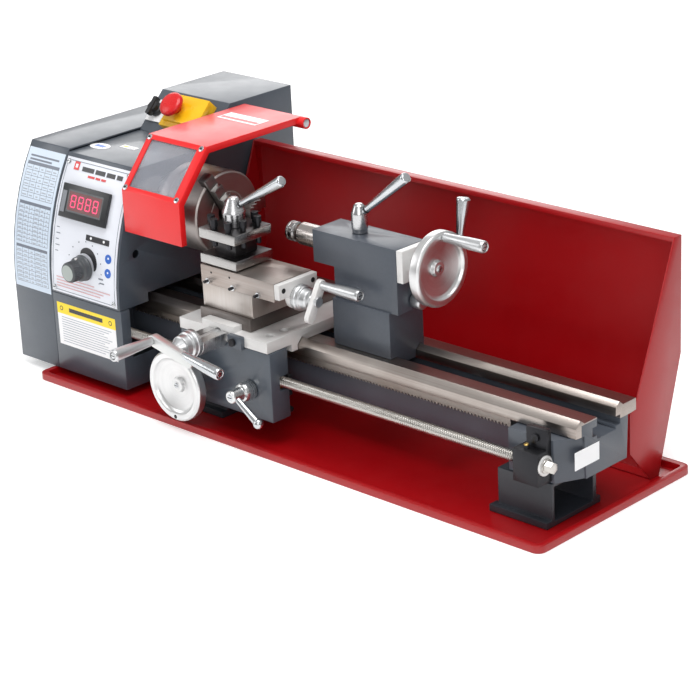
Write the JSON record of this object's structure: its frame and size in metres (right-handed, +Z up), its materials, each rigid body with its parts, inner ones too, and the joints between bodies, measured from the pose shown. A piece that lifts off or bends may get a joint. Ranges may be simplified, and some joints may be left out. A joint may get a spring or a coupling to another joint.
{
  "type": "metal lathe",
  "caption": "Bench metal lathe on a chip tray with splash guard, variable-speed headstock, three-jaw chuck under a hinged guard, carriage with compound slide, and tailstock.",
  "frame": {"origin": "centre of the chip tray's underside", "axes": "+X along the bed from the headstock to the tailstock, +Y to the back, +Z up"},
  "size_m": [0.845, 0.4366, 0.3291],
  "materials": {
    "red_paint": "gloss red paint, slight orange peel",
    "grey_paint": "satin slate-grey paint on castings and sheet",
    "light_casting": "bead-blasted pale casting",
    "ground_steel": "ground and oiled steel",
    "satin_metal": "turned, satin",
    "black_metal": "black oxide or black paint, satin",
    "black_plastic": "moulded black plastic",
    "brass": "machined brass",
    "yellow_plastic": "moulded yellow plastic",
    "red_plastic": "moulded red plastic",
    "panel_label": "printed label film",
    "clear_plastic": "clear sheet, light smoke",
    "belt_rubber": "ribbed black rubber"
  },
  "bodies": {
    "frame": {"chip_tray": "red_paint", "splash_guard": "red_paint", "bed": "grey_paint", "left_foot": "grey_paint", "right_foot": "grey_paint", "feed_rack": "ground_steel", "headstock_casting": "grey_paint", "rear_bearing": "ground_steel", "front_bearing": "ground_steel", "headstock_cover": "grey_paint", "headstock_base_cover": "grey_paint", "gear_cover": "grey_paint", "rear_box": "grey_paint", "control_panel": "panel_label", "speed_display": "black_plastic", "stop_switch_box": "yellow_plastic", "motor": "black_metal", "drive_belt": "belt_rubber", "gear_bracket": "grey_paint", "leadscrew_bracket": "black_metal", "guard_hinge_rod": "ground_steel"},
    "spindle": {"spindle": "ground_steel", "chuck_body": "ground_steel"},
    "jaw_1": {"jaw_1": "ground_steel"},
    "jaw_2": {"jaw_2": "ground_steel"},
    "jaw_3": {"jaw_3": "ground_steel"},
    "motor_pulley": {"motor_pulley": "satin_metal"},
    "upper_idler": {"upper_idler_gear": "ground_steel"},
    "lower_idler": {"lower_idler_gear": "ground_steel"},
    "leadscrew": {"leadscrew": "ground_steel"},
    "chuck_guard": {"chuck_guard": "red_paint", "guard_window": "clear_plastic"},
    "speed_knob": {"speed_knob": "black_plastic"},
    "selector_switch": {"selector_switch": "black_plastic"},
    "stop_button": {"stop_button": "red_plastic"},
    "carriage": {"saddle": "light_casting", "apron": "grey_paint", "cross_feed_barrel": "satin_metal"},
    "carriage_handwheel": {"carriage_handwheel": "satin_metal"},
    "half_nut_lever": {"half_nut_lever": "satin_metal"},
    "half_nut_upper": {"half_nut_upper": "brass"},
    "half_nut_lower": {"half_nut_lower": "brass"},
    "cross_feed_crank": {"cross_feed_crank": "satin_metal"},
    "cross_feed_handle": {"cross_feed_handle": "satin_metal"},
    "cross_slide": {"cross_slide": "ground_steel"},
    "swivel_base": {"swivel_base": "ground_steel"},
    "compound_slide": {"compound_slide": "ground_steel", "compound_end_plate": "light_casting"},
    "compound_crank": {"compound_crank": "satin_metal"},
    "compound_handle": {"compound_handle": "satin_metal"},
    "tool_post": {"tool_post": "black_metal"},
    "tool_post_lever": {"tool_post_lever": "satin_metal"},
    "tailstock": {"tailstock": "grey_paint", "tailstock_end_plate": "light_casting"},
    "quill": {"quill": "ground_steel"},
    "live_centre": {"live_centre": "black_metal"},
    "tailstock_handwheel": {"tailstock_handwheel": "satin_metal"},
    "tailstock_handle": {"tailstock_handle": "satin_metal"},
    "quill_lock_lever": {"quill_lock_lever": "satin_metal"},
    "tailstock_clamp_lever": {"tailstock_clamp_lever": "satin_metal"}
  },
  "joints": [
    {"name": "spindle_spin", "type": "hinge", "parent": "frame", "child": "spindle", "pos_m": [-0.3, -0.0075, 0.2226], "axis": [1, 0, 0], "continuous": true},
    {"name": "motor_pulley_spin", "type": "hinge", "parent": "frame", "child": "motor_pulley", "pos_m": [-0.4, 0.1145, 0.1736], "axis": [1, 0, 0], "continuous": true},
    {"name": "upper_idler_spin", "type": "hinge", "parent": "frame", "child": "upper_idler", "pos_m": [-0.431, -0.03281, 0.17265], "axis": [1, 0, 0], "continuous": true},
    {"name": "lower_idler_spin", "type": "hinge", "parent": "frame", "child": "lower_idler", "pos_m": [-0.431, -0.03543, 0.09669], "axis": [1, 0, 0], "continuous": true},
    {"name": "leadscrew_spin", "type": "hinge", "parent": "frame", "child": "leadscrew", "pos_m": [0, -0.0825, 0.0746], "axis": [1, 0, 0], "continuous": true},
    {"name": "jaw_1_slide", "type": "slide", "parent": "spindle", "child": "jaw_1", "axis": [0, -0.5, 0.866], "range_m": [-0.007, 0.008]},
    {"name": "jaw_2_slide", "type": "slide", "parent": "spindle", "child": "jaw_2", "axis": [0, -0.5, -0.866], "range_m": [-0.007, 0.008]},
    {"name": "jaw_3_slide", "type": "slide", "parent": "spindle", "child": "jaw_3", "axis": [0, 1, 0], "range_m": [-0.007, 0.008]},
    {"name": "chuck_guard_lift", "type": "hinge", "parent": "frame", "child": "chuck_guard", "pos_m": [-0.2, 0.1115, 0.3051], "axis": [-1, 0, 0], "range_deg": [0, 100]},
    {"name": "speed_knob_turn", "type": "hinge", "parent": "frame", "child": "speed_knob", "pos_m": [-0.317, -0.115, 0.1526], "axis": [0, 1, 0], "range_deg": [0, 300]},
    {"name": "selector_switch_turn", "type": "hinge", "parent": "frame", "child": "selector_switch", "pos_m": [-0.366, 0.06735, 0.29976], "axis": [0, -0.7071, 0.7071], "range_deg": [-45, 45]},
    {"name": "stop_button_press", "type": "slide", "parent": "frame", "child": "stop_button", "axis": [0, 0.7071, -0.7071], "range_m": [0, 0.005], "stiffness_N_per_m": 800},
    {"name": "carriage_travel", "type": "slide", "parent": "frame", "child": "carriage", "axis": [1, 0, 0], "range_m": [-0.018, 0.025]},
    {"name": "carriage_handwheel_turn", "type": "hinge", "parent": "carriage", "child": "carriage_handwheel", "pos_m": [-0.136, -0.125, 0.0556], "axis": [0, 1, 0], "range_deg": [-350, 480]},
    {"name": "half_nut_lever_turn", "type": "hinge", "parent": "carriage", "child": "half_nut_lever", "pos_m": [-0.042, -0.11, 0.0656], "axis": [0, 1, 0], "range_deg": [0, 40]},
    {"name": "half_nut_upper_slide", "type": "slide", "parent": "carriage", "child": "half_nut_upper", "axis": [0, 0, -1], "range_m": [0, 0.0047]},
    {"name": "half_nut_lower_slide", "type": "slide", "parent": "carriage", "child": "half_nut_lower", "axis": [0, 0, 1], "range_m": [0, 0.0047]},
    {"name": "cross_feed_crank_turn", "type": "hinge", "parent": "carriage", "child": "cross_feed_crank", "pos_m": [-0.089, -0.15, 0.1226], "axis": [0, 1, 0], "range_deg": [-8130, 1460]},
    {"name": "cross_slide_travel", "type": "slide", "parent": "carriage", "child": "cross_slide", "axis": [0, 1, 0], "range_m": [-0.045, 0.008]},
    {"name": "cross_feed_handle_spin", "type": "hinge", "parent": "cross_feed_crank", "child": "cross_feed_handle", "pos_m": [-0.11726, -0.2, 0.12912], "axis": [0, 1, 0], "continuous": true},
    {"name": "compound_swivel", "type": "hinge", "parent": "cross_slide", "child": "swivel_base", "pos_m": [-0.0875, -0.0605, 0.1586], "axis": [0, 0, 1], "range_deg": [-30, 0]},
    {"name": "compound_crank_turn", "type": "hinge", "parent": "compound_slide", "child": "compound_crank", "pos_m": [0.01, -0.0605, 0.1711], "axis": [1, 0, 0], "range_deg": [-1460, 3640]},
    {"name": "compound_travel", "type": "slide", "parent": "swivel_base", "child": "compound_slide", "axis": [1, 0, 0], "range_m": [-0.008, 0.02]},
    {"name": "compound_handle_spin", "type": "hinge", "parent": "compound_crank", "child": "compound_handle", "pos_m": [0.05, -0.051, 0.18755], "axis": [1, 0, 0], "continuous": true},
    {"name": "tool_post_index", "type": "hinge", "parent": "compound_slide", "child": "tool_post", "pos_m": [-0.099, -0.0605, 0.21], "axis": [0, 0, 1], "continuous": true},
    {"name": "tool_post_lever_turn", "type": "hinge", "parent": "compound_slide", "child": "tool_post_lever", "pos_m": [-0.099, -0.0605, 0.25], "axis": [0, 0, 1], "range_deg": [-90, 60]},
    {"name": "tailstock_travel", "type": "slide", "parent": "frame", "child": "tailstock", "axis": [1, 0, 0], "range_m": [-0.02, 0.26]},
    {"name": "tailstock_handwheel_turn", "type": "hinge", "parent": "tailstock", "child": "tailstock_handwheel", "pos_m": [0.15, -0.0075, 0.2226], "axis": [-1, 0, 0], "range_deg": [-6870, 5440]},
    {"name": "quill_travel", "type": "slide", "parent": "tailstock", "child": "quill", "axis": [-1, 0, 0], "range_m": [-0.038, 0.03]},
    {"name": "live_centre_spin", "type": "hinge", "parent": "quill", "child": "live_centre", "pos_m": [-0.06, -0.0075, 0.2226], "axis": [1, 0, 0], "continuous": true},
    {"name": "tailstock_handle_spin", "type": "hinge", "parent": "tailstock_handwheel", "child": "tailstock_handle", "pos_m": [0.19, -0.0045, 0.2586], "axis": [1, 0, 0], "continuous": true},
    {"name": "quill_lock_turn", "type": "hinge", "parent": "tailstock", "child": "quill_lock_lever", "pos_m": [0.045, -0.0075, 0.25], "axis": [0, 0, 1], "range_deg": [-45, 45]},
    {"name": "tailstock_clamp_turn", "type": "hinge", "parent": "tailstock", "child": "tailstock_clamp_lever", "pos_m": [0.127, -0.0035, 0.1776], "axis": [1, 0, 0], "range_deg": [-35, 5]}
  ],
  "couplings": [
    {"joint": "motor_pulley_spin", "follows": "spindle_spin", "ratio": 2.3},
    {"joint": "upper_idler_spin", "follows": "spindle_spin", "ratio": -0.4},
    {"joint": "lower_idler_spin", "follows": "spindle_spin", "ratio": 0.44444},
    {"joint": "leadscrew_spin", "follows": "spindle_spin", "ratio": -1},
    {"joint": "jaw_2_slide", "follows": "jaw_1_slide", "ratio": 1},
    {"joint": "jaw_3_slide", "follows": "jaw_1_slide", "ratio": 1},
    {"joint": "carriage_handwheel_turn", "follows": "carriage_travel", "rad_per_m": 333},
    {"joint": "half_nut_upper_slide", "follows": "half_nut_lever_turn", "m_per_rad": 0.006589},
    {"joint": "half_nut_lower_slide", "follows": "half_nut_lever_turn", "m_per_rad": 0.006589},
    {"joint": "cross_feed_crank_turn", "follows": "cross_slide_travel", "rad_per_m": 3141.6},
    {"joint": "compound_crank_turn", "follows": "compound_travel", "rad_per_m": 3141.6},
    {"joint": "tailstock_handwheel_turn", "follows": "quill_travel", "rad_per_m": 3141.6}
  ]
}
